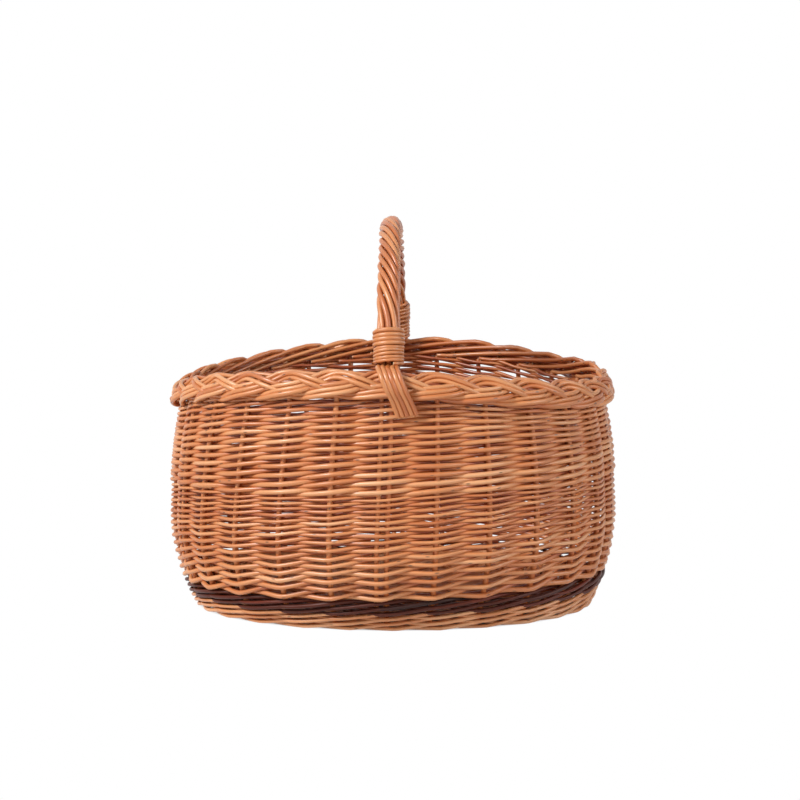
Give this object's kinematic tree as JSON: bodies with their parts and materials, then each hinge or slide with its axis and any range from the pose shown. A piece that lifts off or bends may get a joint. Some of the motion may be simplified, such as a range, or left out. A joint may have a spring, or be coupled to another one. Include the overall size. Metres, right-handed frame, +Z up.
{
  "type": "foraging basket",
  "caption": "Oval woven willow basket with a bellied wall, dark band above the foot, plaited border and a fixed roped bow handle.",
  "frame": {"origin": "middle of the oval foot, on the floor", "axes": "+Z up, X along the long side, Y across it under the handle, front at -Y"},
  "size_m": [0.4228, 0.3277, 0.3688],
  "materials": {
    "stake_willow": "satin",
    "foot_willow": "satin",
    "dark_willow": "satin",
    "siding_willow": "satin",
    "border_willow": "satin",
    "handle_willow": "satin",
    "binding_willow": "satin",
    "base_stick_willow": "satin",
    "base_weave_willow": "satin"
  },
  "bodies": {
    "root": {"stake_01": "stake_willow", "stake_02": "stake_willow", "stake_03": "stake_willow", "stake_04": "stake_willow", "stake_05": "stake_willow", "stake_06": "stake_willow", "stake_07": "stake_willow", "stake_08": "stake_willow", "stake_09": "stake_willow", "stake_10": "stake_willow", "stake_11": "stake_willow", "stake_12": "stake_willow", "stake_13": "stake_willow", "stake_15": "stake_willow", "stake_16": "stake_willow", "stake_17": "stake_willow", "stake_18": "stake_willow", "stake_19": "stake_willow", "stake_20": "stake_willow", "stake_21": "stake_willow", "stake_22": "stake_willow", "stake_23": "stake_willow", "stake_24": "stake_willow", "stake_25": "stake_willow", "stake_26": "stake_willow", "stake_27": "stake_willow", "handle_stake_front_1": "stake_willow", "handle_stake_front_2": "stake_willow", "handle_stake_back_1": "stake_willow", "handle_stake_back_2": "stake_willow", "foot_wale_1": "foot_willow", "foot_wale_2": "foot_willow", "foot_wale_3": "foot_willow", "dark_wale_1": "dark_willow", "dark_wale_2": "dark_willow", "lower_siding_1": "siding_willow", "lower_siding_2": "siding_willow", "upper_siding_1": "siding_willow", "upper_siding_2": "siding_willow", "plaited_border": "border_willow", "handle_bow": "handle_willow", "handle_rod_1": "handle_willow", "handle_rod_2": "handle_willow", "handle_rod_3": "handle_willow", "handle_rod_4": "handle_willow", "handle_rod_5": "handle_willow", "handle_rod_6": "handle_willow", "handle_rod_7": "handle_willow", "binding_front": "binding_willow", "binding_back": "binding_willow", "base_cross_stick_1": "base_stick_willow", "base_cross_stick_2": "base_stick_willow", "base_cross_stick_3": "base_stick_willow", "base_cross_stick_4": "base_stick_willow", "base_cross_stick_5": "base_stick_willow", "base_long_stick_1": "base_stick_willow", "base_long_stick_2": "base_stick_willow", "base_long_stick_3": "base_stick_willow", "base_weave_1": "base_weave_willow", "base_weave_2": "base_weave_willow"}
  },
  "joints": []
}
